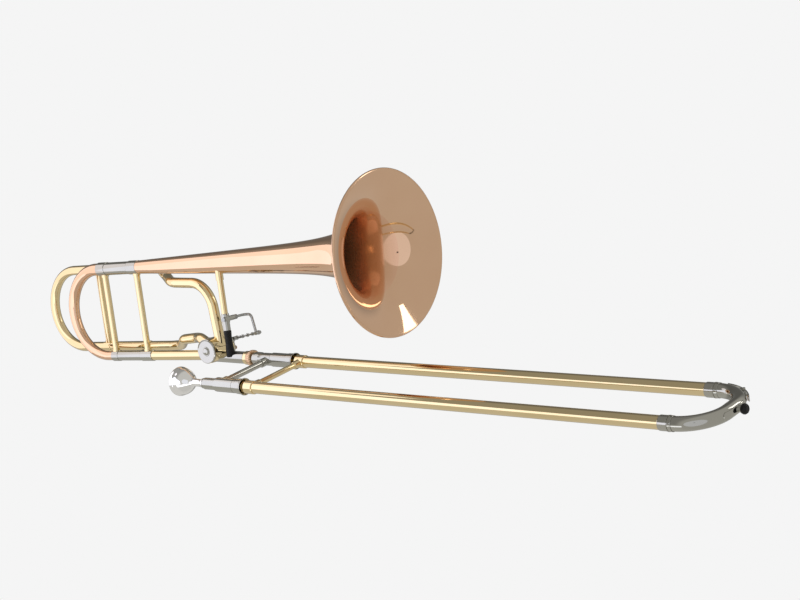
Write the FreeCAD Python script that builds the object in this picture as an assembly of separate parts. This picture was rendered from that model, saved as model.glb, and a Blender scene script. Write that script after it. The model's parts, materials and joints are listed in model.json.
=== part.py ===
import FreeCAD, Part
import math
import os

# Tenor trombone with an F attachment, in millimetres.
# The origin is the middle of the left-hand brace. +X runs along the hand slide towards its bow,
# -Y is the mouthpiece side, +Y is the bell side and +Z points up towards the bell.

# ---- driving dimensions of the hand slide ----
TUBE_SPACING = 98.0
OUTER_R = 7.8
OUTER_BORE_R = 7.4
STOCKING_R = 7.34
INNER_R = 7.2
INNER_BORE_R = 6.95
OUTER_START = 16.3
OUTER_END = 690.0
INNER_END = 664.0
STOCKING_LENGTH = 90.0
BARREL_START = 7.6
SLEEVE_BACK = -2.0
RECEIVER_R = 7.9
BARREL_END = 51.0
BARREL_NECK = 38.0
BARREL_R = 9.6
BARREL_GROOVES = (33.6,)
BARREL_BORE_R = 8.6
BARREL_LIP_R = 11.2
BARREL_MOUTH_R = 10.7
NIB_X = 47.4
NIB_R = 1.1
NIB_TOP = 9.85
GROOVE_R = 10.2
GROOVE_HALF = 1.6
GROOVE_ARC = 60
GROOVE_TURN = 130
RIGHT_BRACE_X = 62.0
SLEEVE_R = 8.9
SLEEVE_START = 54.5
LEFT_BRACE_R = 4.4
RIGHT_BRACE_R = 3.9

# ---- driving dimensions of the bow ----
BOW_START = 690.0
BOW_AXIS_X = 736.0
BOW_BEND_R = 42.0
BOW_R = 8.2
BOW_BORE_R = 7.4
GUARD_THICK = 0.8
BUMPER_Y = 4.0
BUMPER_CUP_R = 4.2
BUMPER_CUP_END = BOW_AXIS_X + 11.2
KEY_PIVOT_HEIGHT = 2.5
KEY_PIVOT_ANGLE = 54.0
KEY_PAD_ANGLE = 31.0
KEY_PIN_R = 0.8
KEY_KNUCKLE_R = 2.0
KEY_POST_OUTER = 4.6
KEY_POST_THICK = 1.4
KEY_WIDTH = 5.2
KEY_THICK = 1.2
KEY_NIPPLE_HEIGHT = 0.5
KEY_CORK_THICK = 1.1

# ---- joint between the slide and the bell section ----
TENON_START = -58.0
RECEIVER_END = -33.0
NUT_START = -38.4
NUT_END = -29.4

# ---- mouthpiece ----
MOUTHPIECE_RIM_X = -79.0
RECEIVER_MOUTH_X = -26.0
SHANK_TIP_X = 1.0

# ---- bell section, in its own frame ----
# Its origin lies on the bell-side slide axis. The section leans outwards, and its bell end rises a little.
BELL_ORIGIN = FreeCAD.Vector(-125.7, TUBE_SPACING / 2, 0)
BELL_YAW = 2.5
BELL_PITCH = -2.133
BELL_ROLL = -8.223
BELL_HEIGHT = 130.8
BELL_RIM_X = 359.3
BELL_RIM_R = 108.0
BELL_TAIL_X = -128.0
BELL_TAIL_R = 9.3
BELL_WALL = 0.7
BELL_STEM_SLOPE = 0.034
BELL_THROAT_RISE = 66.0
BELL_THROAT_LENGTH = 38.0
BELL_LIP_LENGTH = 8.0
BEAD_R = 1.9
SHEET_END_X = BELL_RIM_X - 0.75
SHEET_END_R = BELL_RIM_R - 1.5

# ---- main tuning slide, in the bell section's frame ----
CROOK_CENTRE_X = -211.5
UPPER_RING_START = -204.0
LOWER_RING_START = -200.0
RING_END = -186.0
RING_GRIP = 4.0
FIXED_RING_START = -136.0
UPPER_FIXED_RING_END = -116.5
LOWER_FIXED_RING_END = -112.0
UPPER_LEG_R = 9.4
LOWER_LEG_R = 7.5
LEG_WALL = 0.65
INNER_LEG_WALL = 0.5
UPPER_CROOK_R = 8.9
LOWER_CROOK_R = 7.0
CROOK_WALL = 0.7
GOOSENECK_R = 7.2
RING_RISE = 0.65
FIXED_RING_R = 10.15
FIT_GAP = 0.06
TUNING_BRACE_X = -194.0
BELL_BRACE_X = -124.0
BRACE_R = 4.6

# ---- F attachment, in the bell section's frame ----
F_Y = 32.0
F_UPPER_Z = 127.5
F_LOWER_Z = 8.0
F_CROOK_CENTRE_X = -302.0
F_RING_START = -254.0
F_RING_END = -238.0
F_LEG_END = -160.0
F_TUBE_R = 7.3
F_BORE_R = 6.6
F_CROOK_R = 7.1
F_CROOK_BORE_R = 6.4
F_FERRULE_R = 8.1
F_BRACE_X = -246.0
STAY_X = -150.0
STAY_R = 3.2

# ---- rotary valve, in the bell section's frame ----
VALVE_X = 20.0
VALVE_Z = 9.0
CASING_R = 17.5
CASING_BORE_R = 14.6
CASING_HALF = 18.0
ROTOR_R = 14.55
PORT_OFFSET = 9.0
PORT_R = 6.0
SPINDLE_R = 3.0
ARM_Y = 24.3
ARM_LENGTH = 14.23
ARM_ANGLE = 41.9
STOP_RADIUS = 10.0

# ---- thumb lever, in the bell section's frame ----
POST_X = 54.0
POST_Y = -7.0
POST_R = 4.3
POST_CORE_R = 3.4
LEVER_X = 56.5
LEVER_Z = 52.5
LEVER_ROD_R = 1.9
LEVER_PLANE_Y = 27.5
LINK_Y = 32.0
LINK_PIN_X = 75.0
LINK_PIN_Z = 25.5
LINK_SOCKET = 9.0

X = FreeCAD.Vector(1, 0, 0)
Y = FreeCAD.Vector(0, 1, 0)
Z = FreeCAD.Vector(0, 0, 1)
SIDE = TUBE_SPACING / 2
BELL_PLACE = FreeCAD.Placement(BELL_ORIGIN, FreeCAD.Rotation(BELL_YAW, BELL_PITCH, BELL_ROLL))

os.makedirs("parts", exist_ok=True)


# ---------------------------------------------------------------- helpers

def vec(x, y, z):
    return FreeCAD.Vector(x, y, z)


def save(name, *solids):
    """Writes one node, which is one solid or a group of separate solids."""
    shape = solids[0] if len(solids) == 1 else Part.makeCompound(list(solids))
    shape.exportStep("parts/" + name + ".step")


def save_bell(name, *solids):
    """Writes a node that was drawn in the bell section's frame."""
    save(name, *[placed(solid) for solid in solids])


def placed(solid):
    """A copy of a solid, moved from the bell section's frame to the object's frame."""
    copy = solid.copy()
    copy.Placement = BELL_PLACE.multiply(copy.Placement)
    return copy


def rod(start, end, radius):
    """A round bar between two points."""
    along = end.sub(start)
    return Part.makeCylinder(radius, along.Length, start, along)


def tube(start, end, radius, bore):
    """A straight tube between two points."""
    return rod(start, end, radius).cut(rod(start, end, bore))


def fused(solids):
    """One clean solid from touching solids."""
    whole = solids[0]
    for solid in solids[1:]:
        whole = whole.fuse(solid)
    return whole.removeSplitter()


def bent_rod(points, bends, radius):
    """A round bar along straight runs joined by tangent arcs, one bend radius for each inner point."""
    pieces = []
    start = points[0]
    for before, corner, after, bend in zip(points, points[1:], points[2:], bends):
        into = corner.sub(before).normalize()
        out = after.sub(corner).normalize()
        turn = into.getAngle(out)
        setback = bend * math.tan(turn / 2)
        arc_start = corner.sub(vec(*into).multiply(setback))
        normal = into.cross(out).normalize()
        centre = arc_start.add(normal.cross(into).multiply(bend))
        if arc_start.sub(start).Length > 1e-6:
            pieces.append(rod(start, arc_start, radius))
        face = Part.Face(Part.Wire(Part.makeCircle(radius, arc_start, into)))
        pieces.append(face.revolve(centre, normal, math.degrees(turn)))
        start = corner.add(vec(*out).multiply(setback))
    pieces.append(rod(start, points[-1], radius))
    return fused(pieces)


def bent_tube(points, bends, radius, bore):
    """A bent tube with the same path rules as bent_rod."""
    return bent_rod(points, bends, radius).cut(bent_rod(points, bends, bore))


def turned(outline, origin, direction):
    """A solid of revolution. The outline lists (distance along the axis, radius) corners."""
    points = [vec(along, radius, 0) for along, radius in outline]
    profile = Part.Face(Part.makePolygon(points + [points[0]]))
    solid = profile.revolve(vec(0, 0, 0), X, 360)
    solid.Placement = FreeCAD.Placement(origin, FreeCAD.Rotation(X, direction))
    return solid


def slide_tube(side, start, end, radius, bore):
    """A tube on one of the two slide axes; side is -1 for the mouthpiece and 1 for the bell."""
    return tube(vec(start, side * SIDE, 0), vec(end, side * SIDE, 0), radius, bore)


def slide_rod(side, start, end, radius):
    return rod(vec(start, side * SIDE, 0), vec(end, side * SIDE, 0), radius)


# ---------------------------------------------------------------- inner slide

def inner_tubes():
    near = slide_tube(-1, 2.0, INNER_END, INNER_R, INNER_BORE_R)
    far = slide_tube(1, TENON_START + 2.0, INNER_END, INNER_R, INNER_BORE_R)
    save("inner_slide_tubes", near, far)


def stockings():
    save("inner_slide_stockings", *[
        slide_tube(side, INNER_END - STOCKING_LENGTH, INNER_END, STOCKING_R, INNER_R) for side in (-1, 1)])


def barrels():
    """The two cork barrels: the far one has a flared lip, the near one a back sleeve and a neck for the ring."""
    wall = [(BARREL_START + 2.4, BARREL_BORE_R), (BARREL_START + 2.4, INNER_R), (BARREL_START, INNER_R)]
    far = [(BARREL_START, BARREL_R - 0.5), (BARREL_START + 1, BARREL_R), (BARREL_NECK, BARREL_R)]
    far += [(BARREL_NECK + 0.6, BARREL_R + 0.5), (BARREL_END - 3, BARREL_R + 0.6)]
    far += [(BARREL_END - 1.2, BARREL_LIP_R), (BARREL_END, BARREL_LIP_R), (BARREL_END, BARREL_MOUTH_R)]
    far += [(BARREL_END - 5, BARREL_BORE_R)]
    near = [(BARREL_START, RECEIVER_R), (SLEEVE_BACK, RECEIVER_R), (SLEEVE_BACK, BARREL_R - 0.8)]
    near += [(SLEEVE_BACK + 0.6, BARREL_R - 0.1), (SLEEVE_BACK + 2, BARREL_R)]
    for groove in BARREL_GROOVES:
        near += [(groove - 0.4, BARREL_R), (groove - 0.4, BARREL_R - 0.25)]
        near += [(groove + 0.4, BARREL_R - 0.25), (groove + 0.4, BARREL_R)]
    near += [(BARREL_NECK, BARREL_R), (BARREL_NECK, 9.0), (BARREL_NECK + 2, 9.0), (BARREL_NECK + 2, BARREL_BORE_R)]
    save("bell_side_barrel", turned(far + wall, vec(0, SIDE, 0), X))
    save("mouthpiece_side_barrel", turned(near + wall, vec(0, -SIDE, 0), X))


def barrel_bumpers():
    start = BARREL_START + 2.4
    save("barrel_cork_bumpers", *[
        slide_tube(side, start, OUTER_START - 0.3, BARREL_BORE_R - 0.1, INNER_R) for side in (-1, 1)])


def lock_ring():
    """The turning ring on the mouthpiece-side barrel, with an L-shaped inner groove for the lock nib."""
    start = BARREL_NECK + 0.15
    groove_start = NIB_X - GROOVE_HALF
    outline = [(start, 9.05), (start, BARREL_R + 0.3), (start + 1, BARREL_R + 0.5)]
    outline += [(BARREL_END - 3, BARREL_R + 1.0), (BARREL_END - 1.2, BARREL_LIP_R + 0.3)]
    outline += [(BARREL_END, BARREL_LIP_R + 0.2), (BARREL_END, BARREL_MOUTH_R), (BARREL_END - 1.6, 8.7)]
    outline += [(BARREL_NECK + 2.2, 8.7), (BARREL_NECK + 2.2, 9.05)]
    ring = turned(outline, vec(0, -SIDE, 0), X)
    groove = Part.makeCylinder(GROOVE_R, 2 * GROOVE_HALF, vec(groove_start, -SIDE, 0), X, GROOVE_ARC)
    groove.rotate(vec(0, -SIDE, 0), X, GROOVE_TURN)
    entry_half = NIB_R + 0.7
    entry = Part.makeBox(BARREL_END - groove_start, 2 * entry_half, GROOVE_R)
    entry.translate(vec(groove_start, -SIDE - entry_half, -GROOVE_R))
    entry = entry.common(slide_rod(-1, groove_start, BARREL_END, GROOVE_R))
    save("slide_lock_ring", ring.cut(groove).cut(entry).removeSplitter())


def mouthpiece_receiver():
    outline = [(RECEIVER_MOUTH_X, 6.45), (RECEIVER_MOUTH_X, 7.3), (RECEIVER_MOUTH_X + 1.5, RECEIVER_R)]
    outline += [(BARREL_START, RECEIVER_R), (BARREL_START, INNER_R), (2.0, INNER_R), (2.0, 6.0)]
    save("mouthpiece_receiver", turned(outline, vec(0, -SIDE, 0), X))


def leadpipe():
    save("leadpipe", turned([(2.0, INNER_BORE_R), (2.0, 6.2), (190, 6.75), (190, INNER_BORE_R)],
                            vec(0, -SIDE, 0), X))


def tenon():
    """The tapered-shoulder sleeve on the bell-side tube that the bell section's receiver slips over."""
    outline = [(TENON_START, INNER_BORE_R), (TENON_START, 7.75), (RECEIVER_END + 1, 7.75)]
    outline += [(NUT_END + 0.4, 7.75), (NUT_END + 0.4, 8.2), (NUT_END + 2.4, 8.9), (NUT_END + 8, 9.3)]
    outline += [(NUT_END + 14, 9.1), (NUT_END + 18, 8.3), (-9.5, 8.1), (-8.5, 8.7), (BARREL_START, 8.7)]
    outline += [(BARREL_START, INNER_R), (TENON_START + 2, INNER_R), (TENON_START + 2, INNER_BORE_R)]
    save("slide_tenon", turned(outline, vec(0, SIDE, 0), X))


def left_hand_brace():
    near_face = -SIDE + 7.0
    far_face = SIDE - 7.8
    around = [slide_rod(-1, -30, SLEEVE_BACK, RECEIVER_R), slide_rod(-1, SLEEVE_BACK, BARREL_END, BARREL_R)]
    around += [slide_rod(1, -20, BARREL_START, 8.7), slide_rod(1, BARREL_START, BARREL_END, BARREL_R)]
    bar = rod(vec(0, near_face, 0), vec(0, far_face, 0), LEFT_BRACE_R)
    for space in around:
        bar = bar.cut(space)
    feet = []
    for start, end in ((near_face, near_face + 9.5), (far_face - 9.5, far_face)):
        foot = tube(vec(0, start, 0), vec(0, end, 0), LEFT_BRACE_R + 1.4, LEFT_BRACE_R)
        for space in around:
            foot = foot.cut(space)
        feet.append(foot)
    save("left_hand_brace", bar, *feet)


# ---------------------------------------------------------------- mouthpiece, lock nut

def mouthpiece():
    """Cup mouthpiece: rounded rim, bowl, throat, backbore and tapered shank."""
    rim = MOUTHPIECE_RIM_X
    outside = [(rim + 1.4, 13.2), (rim + 0.3, 14.2), (rim, 16.0), (rim + 0.5, 18.2), (rim + 1.8, 19.4)]
    outside += [(rim + 4, 19.9), (rim + 6.5, 19.5), (rim + 9, 18.6), (rim + 13, 17.6), (rim + 17, 15.9)]
    outside += [(rim + 21, 13.3), (rim + 25, 10.2), (rim + 28, 7.9), (rim + 31, 6.2), (rim + 34, 5.4)]
    outside += [(rim + 41, 5.1), (rim + 45, 5.4), (rim + 48, 6.2), (rim + 50, 6.9), (rim + 51.5, 6.9)]
    outside += [(rim + 52.3, 6.4)]
    outside += [(SHANK_TIP_X, 5.93)]
    inside = [(SHANK_TIP_X, 5.3), (rim + 40, 3.9), (rim + 31, 3.3), (rim + 27, 3.5), (rim + 24, 5.2)]
    inside += [(rim + 21, 7.6), (rim + 17, 9.9), (rim + 12, 11.7), (rim + 6, 12.6)]
    save("mouthpiece", turned(outside + inside, vec(0, -SIDE, 0), X))


def lock_nut():
    """The knurled nut that holds the bell section's receiver on the slide's tenon."""
    outline = [(NUT_START, 9.15), (NUT_START, 9.9), (NUT_START + 1, 10.4), (NUT_START + 3, 10.6)]
    outline += [(NUT_START + 3.4, 11.0), (NUT_START + 4.2, 11.5), (NUT_END - 1.2, 11.5), (NUT_END, 10.6)]
    outline += [(NUT_END, 7.81), (RECEIVER_END + 0.3, 7.81), (RECEIVER_END + 0.3, 9.15)]
    nut = turned(outline, vec(0, SIDE, 0), X)
    flutes = 24
    for index in range(flutes):
        angle = 2 * math.pi * index / flutes
        place = vec(NUT_START + 3, SIDE + 11.9 * math.cos(angle), 11.9 * math.sin(angle))
        nut = nut.cut(Part.makeCylinder(0.75, 8, place, X))
    save("bell_lock_nut", nut)


# ---------------------------------------------------------------- outer slide

def outer_tubes():
    nib = rod(vec(NIB_X, -SIDE, -OUTER_R + 0.2), vec(NIB_X, -SIDE, -NIB_TOP), NIB_R)
    save("outer_slide_tubes", *[
        slide_tube(side, OUTER_START, OUTER_END, OUTER_R, OUTER_BORE_R) for side in (-1, 1)])
    save("slide_lock_nib", nib.cut(slide_rod(-1, NIB_X - 5, NIB_X + 5, OUTER_R)))


def right_hand_brace():
    start = SLEEVE_START
    end = RIGHT_BRACE_X + 8
    outline = [(start, OUTER_R), (start, 8.5), (start + 0.8, SLEEVE_R), (end - 1, SLEEVE_R)]
    outline += [(end, 8.3), (end, OUTER_R)]
    sleeves = [turned(outline, vec(0, side * SIDE, 0), X) for side in (-1, 1)]
    save("right_hand_brace_sleeves", *sleeves)
    spaces = [slide_rod(side, start, end, SLEEVE_R) for side in (-1, 1)]
    reach = SIDE - 7.0
    bar = rod(vec(RIGHT_BRACE_X, -reach, 0), vec(RIGHT_BRACE_X, reach, 0), RIGHT_BRACE_R)
    feet = []
    for side in (-1, 1):
        foot = turned([(0, RIGHT_BRACE_R), (0, 5.6), (4, 5.4), (9.5, 5.0), (10.5, 4.3), (10.5, RIGHT_BRACE_R)],
                      vec(RIGHT_BRACE_X, side * reach, 0), vec(0, -side, 0))
        feet.append(foot.cut(spaces[0]).cut(spaces[1]))
    save("right_hand_brace", bar.cut(spaces[0]).cut(spaces[1]), *feet)


def bow_path():
    points = [vec(BOW_START, -SIDE, 0), vec(BOW_AXIS_X, -SIDE, 0)]
    points += [vec(BOW_AXIS_X, SIDE, 0), vec(BOW_START, SIDE, 0)]
    return points, [BOW_BEND_R, BOW_BEND_R]


def bow():
    points, bends = bow_path()
    save("slide_bow", bent_tube(points, bends, BOW_R, BOW_BORE_R))
    guard = bent_tube(points, bends, BOW_R + GUARD_THICK, BOW_R)
    window = Part.makeBox(20, 44, 9, vec(BOW_AXIS_X + 2, -24, -4.5))
    window = window.makeFillet(4, [edge for edge in window.Edges if abs(edge.tangentAt(0).x) > 0.9])
    save("bow_guard_plate", guard.common(window))


def bow_sleeves():
    start = OUTER_END - 9.4
    ring = OUTER_END + 0.7
    end = OUTER_END + 7.0
    outline = [(start, OUTER_R), (start, 8.3), (start + 0.6, 8.6), (ring, 8.6), (ring + 0.4, 9.0)]
    outline += [(ring + 1.6, 9.0), (ring + 1.7, 8.45), (ring + 2.3, 8.45), (ring + 2.4, 8.8)]
    outline += [(end - 0.2, 8.7), (end, 8.5), (end, BOW_R + 0.2)]
    outline += [(OUTER_END, BOW_R), (OUTER_END, OUTER_R)]
    save("bow_sleeves", *[turned(outline, vec(0, side * SIDE, 0), X) for side in (-1, 1)])


def bumper():
    """The rubber foot that the slide rests on, in its metal cup on the bow."""
    points, bends = bow_path()
    guard = bent_rod(points, bends, BOW_R + GUARD_THICK)
    start = BUMPER_CUP_END
    cup = rod(vec(BOW_AXIS_X + 5, BUMPER_Y, 0), vec(start, BUMPER_Y, 0), BUMPER_CUP_R)
    save("bumper_cup", cup.cut(guard))
    foot = turned([(start, 0), (start, 4.0), (start + 0.8, 5.2), (start + 2.4, 5.9), (start + 4.4, 5.8),
                   (start + 6.2, 4.6), (start + 7.0, 3.4), (start + 7.0, 0)], vec(0, BUMPER_Y, 0), X)
    save("bow_bumper", foot)


def on_bow(height, angle, z):
    """A point at a height above the bow's outside, around its bell-side corner; angle 0 is +X."""
    turn = math.radians(angle)
    radius = BOW_BEND_R + BOW_R + height
    return vec(BOW_AXIS_X - BOW_BEND_R + radius * math.cos(turn),
               SIDE - BOW_BEND_R + radius * math.sin(turn), z)


def water_key():
    """Spring-loaded spit valve on the bow: posts, pin, nipple, lever and cork pad."""
    pivot = on_bow(KEY_PIVOT_HEIGHT, KEY_PIVOT_ANGLE, 0)
    core = bent_rod(*bow_path(), BOW_R)
    pin_hole = Part.makeCylinder(KEY_PIN_R, 14, pivot.sub(vec(0, 0, 7)), Z)
    fixed = []
    for start in (-KEY_POST_OUTER, KEY_POST_OUTER - KEY_POST_THICK):
        root = on_bow(-3.5, KEY_PIVOT_ANGLE, 0)
        across = pivot.sub(root).normalize().cross(Z)
        wide = vec(*across).multiply(3.2)
        narrow = vec(*across).multiply(KEY_KNUCKLE_R)
        corners = [root.add(wide), pivot.add(narrow), pivot.sub(narrow), root.sub(wide)]
        plate = Part.Face(Part.makePolygon(corners + [corners[0]])).extrude(vec(0, 0, KEY_POST_THICK))
        plate = plate.fuse(Part.makeCylinder(KEY_KNUCKLE_R, KEY_POST_THICK, pivot, Z))
        plate.translate(vec(0, 0, start))
        fixed.append(plate.cut(core).cut(pin_hole).removeSplitter())
    pin_half = KEY_POST_OUTER + 0.4
    fixed.append(Part.makeCylinder(KEY_PIN_R, 2 * pin_half, pivot.sub(vec(0, 0, pin_half)), Z))
    save("water_key_posts", *fixed)
    save("water_key_nipple", tube(on_bow(-2.2, KEY_PAD_ANGLE, 0), on_bow(KEY_NIPPLE_HEIGHT, KEY_PAD_ANGLE, 0),
                                  2.8, 1.4).cut(core))
    cork_low = KEY_NIPPLE_HEIGHT + 0.3
    cork_high = cork_low + KEY_CORK_THICK
    stations = [(KEY_PAD_ANGLE - 5, 3.2), (44, 3.6), (60, 4.9), (86, 8.0)]
    outer = Part.BSplineCurve()
    outer.interpolate([on_bow(height, angle, -KEY_WIDTH / 2) for angle, height in stations])
    inner = Part.BSplineCurve()
    inner.interpolate([on_bow(height - KEY_THICK, angle, -KEY_WIDTH / 2) for angle, height in stations])
    edges = [outer.toShape(), Part.makeLine(outer.EndPoint, inner.EndPoint), inner.toShape(),
             Part.makeLine(inner.StartPoint, outer.StartPoint)]
    strip = Part.Face(Part.Wire(Part.__sortEdges__(edges))).extrude(vec(0, 0, KEY_WIDTH))
    knuckle_half = KEY_POST_OUTER - KEY_POST_THICK - 0.4
    knuckle = Part.makeCylinder(KEY_KNUCKLE_R, 2 * knuckle_half, pivot.sub(vec(0, 0, knuckle_half)), Z)
    bore = Part.makeCylinder(KEY_PIN_R + 0.05, 10, pivot.sub(vec(0, 0, 5)), Z)
    cup = rod(on_bow(cork_high, KEY_PAD_ANGLE, 0), on_bow(cork_high + 0.9, KEY_PAD_ANGLE, 0), 3.4)
    save("water_key_lever", strip.fuse(knuckle).fuse(cup).cut(bore).removeSplitter())
    save("water_key_cork", rod(on_bow(cork_low, KEY_PAD_ANGLE, 0), on_bow(cork_high, KEY_PAD_ANGLE, 0), 3.0))


# ---------------------------------------------------------------- bell

def bell_radius(back):
    """Outer radius of the bell at a distance back from the edge of its sheet, which is inside the rim wire."""
    length = SHEET_END_X - BELL_TAIL_X
    stem = BELL_TAIL_R + BELL_STEM_SLOPE * (length - back)
    lip_rise = SHEET_END_R - BELL_TAIL_R - BELL_STEM_SLOPE * length - BELL_THROAT_RISE
    throat = BELL_THROAT_RISE * math.exp(-back / BELL_THROAT_LENGTH)
    return stem + throat + lip_rise * math.exp(-back / BELL_LIP_LENGTH)


def bell_axis(x):
    return vec(x, 0, BELL_HEIGHT)


def bell():
    """The spun bell: a long gently tapered stem that opens into the flare."""
    length = SHEET_END_X - BELL_TAIL_X
    stations = 24
    backs = [length * (step / stations) ** 2.2 for step in range(stations + 1)]
    outside = []
    inside = []
    for back in backs:
        radius = bell_radius(back)
        slope = (bell_radius(back - 0.01) - bell_radius(back + 0.01)) / 0.02
        norm = math.hypot(1, slope)
        outside.append(vec(SHEET_END_X - back, 0, radius))
        inside.append(vec(SHEET_END_X - back + BELL_WALL * slope / norm, 0, radius - BELL_WALL / norm))
    outer = Part.BSplineCurve()
    outer.interpolate(outside)
    inner = Part.BSplineCurve()
    inner.interpolate(inside)
    edges = [outer.toShape(), Part.makeLine(outer.EndPoint, inner.EndPoint), inner.toShape(),
             Part.makeLine(inner.StartPoint, outer.StartPoint)]
    sheet = Part.Face(Part.Wire(Part.__sortEdges__(edges))).revolve(vec(0, 0, 0), X, 360)
    sheet.translate(bell_axis(0))
    bead = Part.makeTorus(BELL_RIM_R - BEAD_R, BEAD_R, bell_axis(BELL_RIM_X - BEAD_R), X)
    save_bell("bell_flare", sheet.cut(bead))
    save_bell("bell_rim_wire", bead)


def fixed_ferrules():
    """The rings that join the bell tail and the gooseneck to the fixed legs of the tuning slide."""
    start = FIXED_RING_START
    end = UPPER_FIXED_RING_END
    outline = [(start, UPPER_LEG_R), (start, FIXED_RING_R - 0.25), (start + 0.6, FIXED_RING_R)]
    outline += [(end - 0.6, FIXED_RING_R), (end, FIXED_RING_R - 0.2)]
    outline += [(end, BELL_TAIL_R + BELL_STEM_SLOPE * (end - BELL_TAIL_X))]
    outline += [(BELL_TAIL_X, BELL_TAIL_R), (BELL_TAIL_X, UPPER_LEG_R)]
    upper = turned(outline, bell_axis(0), X)
    end = LOWER_FIXED_RING_END
    ring_r = LOWER_LEG_R + RING_RISE
    outline = [(start, LOWER_LEG_R), (start, ring_r - 0.25), (start + 0.6, ring_r), (end - 0.6, ring_r)]
    outline += [(end, ring_r - 0.25), (end, GOOSENECK_R), (BELL_TAIL_X, GOOSENECK_R), (BELL_TAIL_X, LOWER_LEG_R)]
    save_bell("bell_section_ferrules", upper, turned(outline, vec(0, 0, 0), X))


# ---------------------------------------------------------------- main tuning slide

def legs():
    """Fixed outer legs and moving inner legs of the main tuning slide."""
    outer = []
    inner = []
    for height, radius, ring_start in ((BELL_HEIGHT, UPPER_LEG_R, UPPER_RING_START),
                                       (0, LOWER_LEG_R, LOWER_RING_START)):
        slim = radius - LEG_WALL - FIT_GAP
        outer.append(tube(vec(RING_END + 0.1, 0, height), vec(BELL_TAIL_X, 0, height), radius, radius - LEG_WALL))
        inner.append(tube(vec(ring_start + RING_GRIP, 0, height), vec(BELL_TAIL_X - 7, 0, height),
                          slim, slim - INNER_LEG_WALL))
    save_bell("tuning_slide_outer_legs", *outer)
    save_bell("tuning_slide_inner_legs", *inner)


def moving_ring(start, end, height, y, leg_r, crook_r):
    """A ferrule that joins a crook's end to its inner leg."""
    slim = leg_r - LEG_WALL - FIT_GAP
    split = start + RING_GRIP
    outline = [(start, crook_r), (start, leg_r + 0.3), (start + 0.6, leg_r + RING_RISE)]
    outline += [(end - 0.6, leg_r + RING_RISE)]
    outline += [(end, leg_r + 0.35), (end, slim), (split, slim), (split, crook_r)]
    return turned(outline, vec(0, y, height), X)


def tapered_crook(start, bottom, top, lower_r, upper_r):
    """A half circle of tube whose radius grows evenly from its lower end to its upper end."""
    middle = (bottom + top) / 2
    radius = (top - bottom) / 2
    arc = Part.Arc(vec(start, 0, bottom), vec(start - radius, 0, middle), vec(start, 0, top)).toShape()
    spine = Part.Wire(arc)
    sections = [Part.Wire(Part.makeCircle(lower_r, vec(start, 0, bottom), X)),
                Part.Wire(Part.makeCircle(upper_r, vec(start, 0, top), X))]
    return spine.makePipeShell(sections, True, False)


def tuning_slide():
    outer = tapered_crook(CROOK_CENTRE_X, 0, BELL_HEIGHT, LOWER_CROOK_R, UPPER_CROOK_R)
    bore = tapered_crook(CROOK_CENTRE_X, 0, BELL_HEIGHT, LOWER_CROOK_R - CROOK_WALL, UPPER_CROOK_R - CROOK_WALL)
    pieces = [outer.cut(bore)]
    rings = []
    for height, ring_start, leg_r, crook_r in ((0, LOWER_RING_START, LOWER_LEG_R, LOWER_CROOK_R),
                                               (BELL_HEIGHT, UPPER_RING_START, UPPER_LEG_R, UPPER_CROOK_R)):
        start = vec(CROOK_CENTRE_X, 0, height)
        end = vec(ring_start + RING_GRIP, 0, height)
        pieces.append(tube(start, end, crook_r, crook_r - CROOK_WALL))
        rings.append(moving_ring(ring_start, RING_END, height, 0, leg_r, crook_r))
    save_bell("tuning_crook", fused(pieces))
    save_bell("tuning_slide_ferrules", *rings)
    save_bell("tuning_slide_brace", brace(TUNING_BRACE_X, 0, 0, LOWER_LEG_R + RING_RISE,
                                          BELL_HEIGHT, UPPER_LEG_R + RING_RISE))


def brace(x, y, low_ring, low_r, high_ring, high_r):
    """An upright brace between two rings, given by their heights and radii, with a collar at each end."""
    low = low_ring + low_r
    high = high_ring - high_r
    bar = rod(vec(x, y, low - 1.5), vec(x, y, high + 1.5), BRACE_R)
    for height in (low - 1.5, high - 2.0):
        bar = bar.fuse(rod(vec(x, y, height), vec(x, y, height + 3.5), BRACE_R + 0.8))
    for height, radius in ((low_ring, low_r), (high_ring, high_r)):
        bar = bar.cut(rod(vec(x - 20, y, height), vec(x + 20, y, height), radius))
    return bar.removeSplitter()


# ---------------------------------------------------------------- gooseneck and receiver

def casing_space():
    return rod(vec(VALVE_X, -CASING_HALF, VALVE_Z), vec(VALVE_X, CASING_HALF, VALVE_Z), CASING_R)


def gooseneck():
    body = tube(vec(BELL_TAIL_X, 0, 0), vec(VALVE_X, 0, 0), GOOSENECK_R, GOOSENECK_R - CROOK_WALL)
    save_bell("gooseneck", body.cut(casing_space()))
    save_bell("bell_to_gooseneck_brace", brace(BELL_BRACE_X, 0, 0, LOWER_LEG_R + RING_RISE,
                                               BELL_HEIGHT, FIXED_RING_R))


def receiver():
    """The nickel tube, in line with the slide, that the tenon plugs into."""
    outline = [(-110, 6.5), (-110, 8.5), (RECEIVER_END, 8.5)]
    outline += [(RECEIVER_END, 7.83), (TENON_START - 0.5, 7.83), (TENON_START - 0.5, 6.5)]
    tube_body = turned(outline, vec(0, SIDE, 0), X)
    save("bell_receiver", tube_body.cut(placed(casing_space())))
    collar = [(NUT_START - 7, 8.5), (NUT_START - 7, 9.2), (NUT_START - 6, 9.6), (NUT_START - 0.5, 9.6)]
    collar += [(NUT_START - 0.5, 9.1), (RECEIVER_END, 9.1), (RECEIVER_END, 8.5)]
    save("receiver_collar", turned(collar, vec(0, SIDE, 0), X))


# ---------------------------------------------------------------- rotary valve

def along_y(x, z, start, end, radius):
    """A round bar across the bell section's plane."""
    return rod(vec(x, start, z), vec(x, end, z), radius)


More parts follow.
